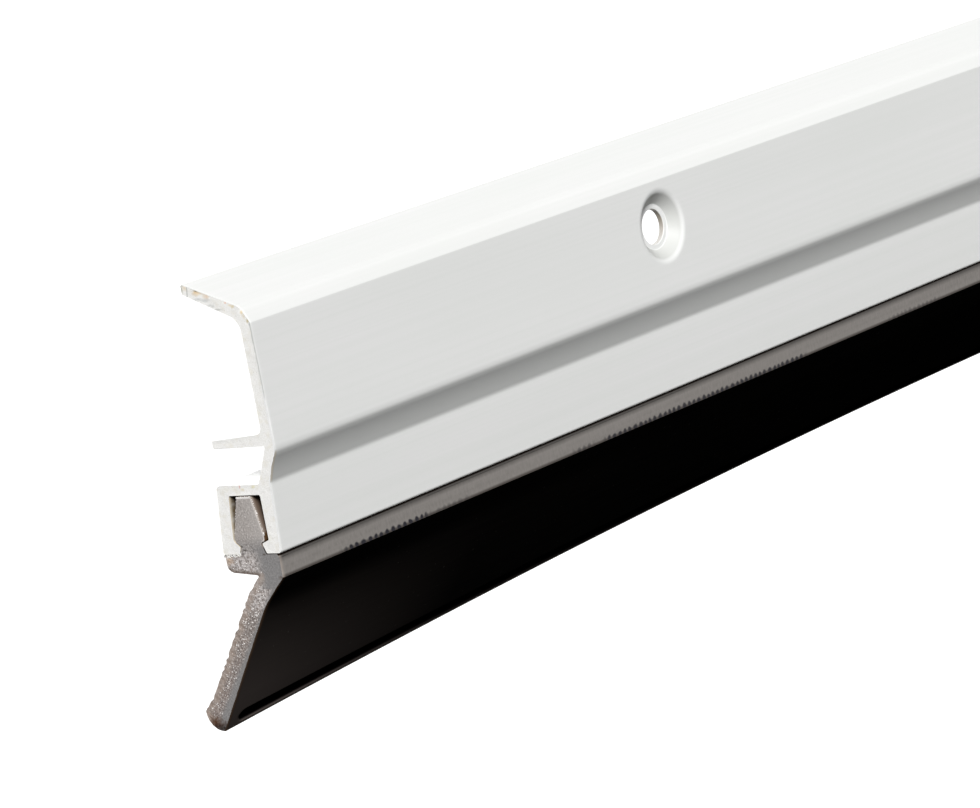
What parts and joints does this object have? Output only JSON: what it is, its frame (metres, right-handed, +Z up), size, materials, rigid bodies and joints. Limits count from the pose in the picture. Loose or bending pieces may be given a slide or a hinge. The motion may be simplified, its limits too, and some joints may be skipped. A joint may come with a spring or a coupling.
{
  "type": "door bottom weather strip",
  "caption": "Door bottom weather strip: a white carrier with a sloping top flange and countersunk screw holes, gripping a dark flexible blade in its channel.",
  "frame": {"origin": "middle of the strip's length, on the line of the screw holes, in the plane of the upper web's back face", "axes": "+X along the strip, +Y towards the door it is screwed to, +Z up; the seen face looks along -Y"},
  "size_m": [0.914, 0.0205, 0.0484],
  "materials": {
    "rigid_pvc": "white, extruded, semi-gloss",
    "flexible_pvc": "near-black, extruded, satin; grey-brown and grainy where sawn"
  },
  "bodies": {
    "root": {"carrier": "rigid_pvc", "blade": "flexible_pvc"}
  },
  "joints": []
}
